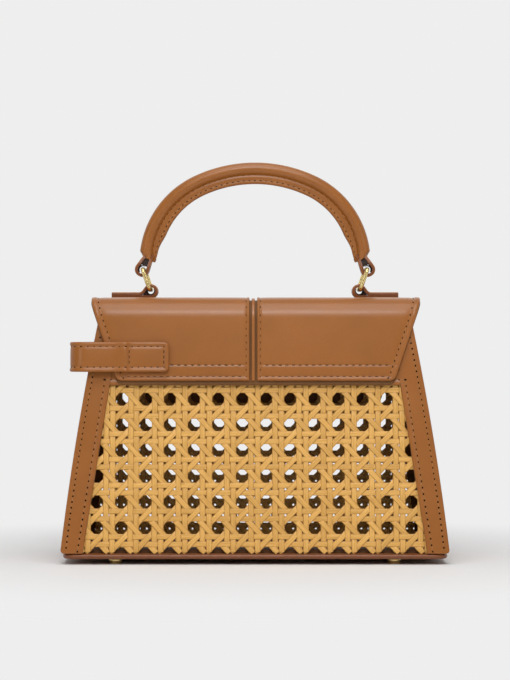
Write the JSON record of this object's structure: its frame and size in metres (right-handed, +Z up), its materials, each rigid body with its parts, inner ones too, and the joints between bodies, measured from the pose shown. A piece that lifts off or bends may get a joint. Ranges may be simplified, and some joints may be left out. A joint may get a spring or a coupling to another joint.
{
  "type": "crossbody bag",
  "caption": "Small structured handbag in leather with see-through cane webbing walls, a flap over the top, an arched handle on rings, a side belt and metal feet.",
  "frame": {"origin": "on the floor under the feet, in the middle of the bag's box in plan", "axes": "+Z up, +Y out of the front where the flap hangs, +X to the right seen from behind; the belt is on the -X side"},
  "size_m": [0.2214, 0.096, 0.233],
  "materials": {
    "tan_leather": "smooth, soft sheen",
    "lining_leather": "smooth, matte",
    "cane": "satin, natural cane skin",
    "gold_metal": "polished",
    "board": "matte fibre board",
    "core": "cotton cord",
    "magnet": "plated"
  },
  "bodies": {
    "root": {"base_leather": "tan_leather", "base_board": "board", "foot_back_left": "gold_metal", "foot_back_right": "gold_metal", "foot_front_left": "gold_metal", "foot_front_right": "gold_metal", "foot_washers": "gold_metal", "back_frame": "tan_leather", "back_cane": "cane", "back_frame_lining": "lining_leather", "front_frame": "tan_leather", "front_cane": "cane", "front_frame_lining": "lining_leather", "gusset_left": "tan_leather", "gusset_right": "tan_leather", "yoke_lining": "lining_leather", "yoke_left_panel": "tan_leather", "yoke_right_panel": "tan_leather", "yoke_centre_strip": "tan_leather", "belt_outer": "tan_leather", "belt_lining": "lining_leather", "belt_magnet": "magnet"},
    "flap": {"flap_lining": "lining_leather", "flap_left_panel": "tan_leather", "flap_right_panel": "tan_leather", "flap_centre_strip": "tan_leather", "handle_tab_left": "tan_leather", "handle_tab_right": "tan_leather", "closure_tab_outer": "tan_leather", "closure_tab_lining": "lining_leather", "closure_tab_magnet": "magnet"},
    "ring_left": {"ring_left": "gold_metal"},
    "ring_right": {"ring_right": "gold_metal"},
    "handle": {"handle_cover": "tan_leather", "handle_core": "core", "handle_loop_left": "tan_leather", "handle_loop_right": "tan_leather"}
  },
  "joints": [
    {"name": "flap_hinge", "type": "hinge", "parent": "root", "child": "flap", "pos_m": [0, -0.03098, 0.15064], "axis": [1, 0, 0], "range_deg": [0, 170]},
    {"name": "ring_left_swing", "type": "hinge", "parent": "flap", "child": "ring_left", "pos_m": [-0.06149, 0, 0.15785], "axis": [0, 1, 0], "range_deg": [-15, 15]},
    {"name": "ring_right_swing", "type": "hinge", "parent": "flap", "child": "ring_right", "pos_m": [0.06149, 0, 0.15785], "axis": [0, 1, 0], "range_deg": [-15, 15]},
    {"name": "handle_rock", "type": "hinge", "parent": "ring_left", "child": "handle", "pos_m": [-0.06566, 0, 0.16995], "axis": [0, 1, 0], "range_deg": [-15, 15]}
  ],
  "couplings": [
    {"joint": "ring_left_swing", "follows": "ring_right_swing", "ratio": 1},
    {"joint": "handle_rock", "follows": "ring_right_swing", "ratio": -0.9365}
  ]
}
